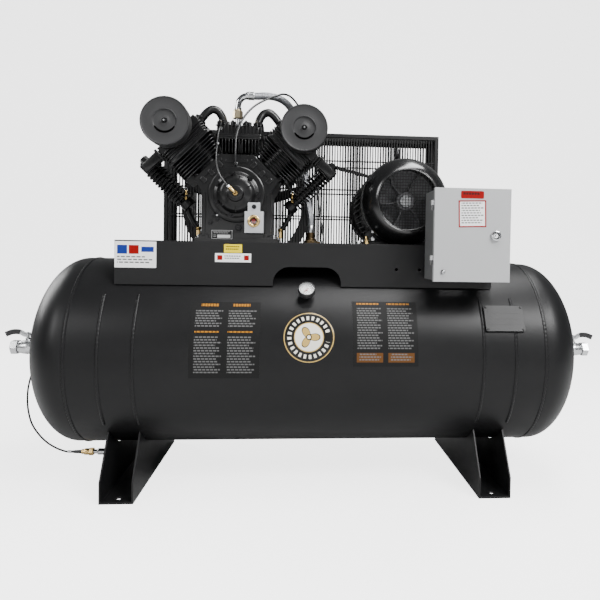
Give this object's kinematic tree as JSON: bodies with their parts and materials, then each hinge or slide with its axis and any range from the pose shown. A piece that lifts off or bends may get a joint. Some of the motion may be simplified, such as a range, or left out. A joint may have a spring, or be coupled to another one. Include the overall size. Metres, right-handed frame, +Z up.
{
  "type": "stationary air compressor",
  "caption": "Belt-driven two-stage piston air compressor: W-type pump, electric motor and wire belt guard on a deck over a long horizontal air tank, with a control cabinet on the front.",
  "frame": {"origin": "on the floor, at the middle of the machine's footprint", "axes": "+X along the tank to the cabinet's end, -Y towards the operator, +Z up"},
  "size_m": [2.052, 0.8, 1.3076],
  "materials": {
    "black_paint": "satin black sprayed paint",
    "cast_black": "semi-gloss black paint over rough castings",
    "filter_paint": "matt dark grey paint",
    "grey_paint": "light grey powder coat",
    "steel": "bare and zinc plated steel",
    "chrome": "bright chromium plate",
    "brass": "machined brass",
    "alloy": "cast aluminium",
    "braid": "stainless wire braid",
    "rubber": "moulded black rubber",
    "plastic": "black plastic",
    "dial": "white printed dial",
    "red_plastic": "red plastic",
    "glass": "clear glass",
    "label": "printed plastic label"
  },
  "bodies": {
    "machine": {"tank_shell": "black_paint", "tank_head_left": "black_paint", "tank_head_right": "black_paint", "leg_left": "black_paint", "leg_right": "black_paint", "deck": "black_paint", "gauge_case": "dial", "right_valve_body": "steel", "left_valve_body": "steel", "drain_fitting": "brass", "drain_tube": "plastic", "pressure_switch": "plastic", "check_valve": "brass", "crankcase": "cast_black", "front_bearing_cover": "cast_black", "rear_bearing_housing": "cast_black", "oil_sight": "alloy", "cylinder_left": "cast_black", "head_left": "cast_black", "intercooler_left": "cast_black", "air_filter_left": "filter_paint", "crossover_pipe_left": "cast_black", "cylinder_right": "cast_black", "head_right": "cast_black", "intercooler_right": "cast_black", "air_filter_right": "filter_paint", "crossover_pipe_right": "cast_black", "cylinder_centre": "cast_black", "head_centre": "cast_black", "discharge_elbow": "chrome", "discharge_hose": "braid", "unloader_tube": "plastic", "breather_tube": "plastic", "drive_belt_1": "rubber", "drive_belt_2": "rubber", "motor_frame": "cast_black", "motor_end_shield": "cast_black", "motor_fan_cover": "black_paint", "guard_frame": "black_paint", "guard_front_grille": "black_paint", "guard_rear_grille": "black_paint", "cabinet_body": "grey_paint", "contactor": "plastic"},
    "gauge_hand": {"gauge_needle": "red_plastic"},
    "right_lever": {"right_valve_lever": "steel"},
    "left_lever": {"left_valve_lever": "steel"},
    "crank": {"crankshaft": "steel", "flywheel": "cast_black"},
    "motor_shaft": {"motor_rotor": "steel", "motor_fan": "plastic", "motor_pulley": "cast_black"},
    "left_piston": {"piston_left": "alloy", "rod_left": "alloy"},
    "centre_piston": {"piston_centre": "alloy", "rod_centre": "alloy"},
    "right_piston": {"piston_right": "alloy", "rod_right": "alloy"},
    "door": {"cabinet_door": "grey_paint"},
    "latch": {"door_latch": "steel"},
    "reset": {"reset_button": "red_plastic"}
  },
  "joints": [
    {"name": "gauge_needle_turn", "type": "hinge", "parent": "machine", "child": "gauge_hand", "pos_m": [-0.018, -0.28474, 0.63757], "axis": [0, -0.7604, 0.6494], "range_deg": [-270, 0], "stiffness_Nm_per_rad": 0.002},
    {"name": "right_valve_turn", "type": "hinge", "parent": "machine", "child": "right_lever", "pos_m": [0.95, -0.03, 0.46], "axis": [0, 0, 1], "range_deg": [0, 90]},
    {"name": "left_valve_turn", "type": "hinge", "parent": "machine", "child": "left_lever", "pos_m": [-0.95, -0.03, 0.46], "axis": [0, 0, 1], "range_deg": [0, 90]},
    {"name": "crank_spin", "type": "hinge", "parent": "machine", "child": "crank", "pos_m": [-0.248, -0.01, 0.938], "axis": [0, 1, 0], "continuous": true},
    {"name": "motor_spin", "type": "hinge", "parent": "machine", "child": "motor_shaft", "pos_m": [0.296, -0.03, 0.922], "axis": [0, 1, 0], "continuous": true},
    {"name": "left_piston_slide", "type": "slide", "parent": "machine", "child": "left_piston", "axis": [-0.7071, 0, 0.7071], "range_m": [-0.0623, 0.0137], "deforming": ["rod_left"]},
    {"name": "centre_piston_slide", "type": "slide", "parent": "machine", "child": "centre_piston", "axis": [0, 0, 1], "range_m": [-0.076, 0], "deforming": ["rod_centre"]},
    {"name": "right_piston_slide", "type": "slide", "parent": "machine", "child": "right_piston", "axis": [0.7071, 0, 0.7071], "range_m": [-0.0623, 0.0137], "deforming": ["rod_right"]},
    {"name": "door_swing", "type": "hinge", "parent": "machine", "child": "door", "pos_m": [0.3415, -0.376, 0.809], "axis": [0, 0, -1], "range_deg": [0, 110]},
    {"name": "latch_turn", "type": "hinge", "parent": "door", "child": "latch", "pos_m": [0.52, -0.391, 0.808], "axis": [0, 1, 0], "range_deg": [0, 90]},
    {"name": "reset_push", "type": "slide", "parent": "door", "child": "reset", "axis": [0, 1, 0], "range_m": [0, 0.004], "stiffness_N_per_m": 400}
  ],
  "couplings": [
    {"joint": "motor_spin", "follows": "crank_spin", "ratio": 1.9365}
  ]
}
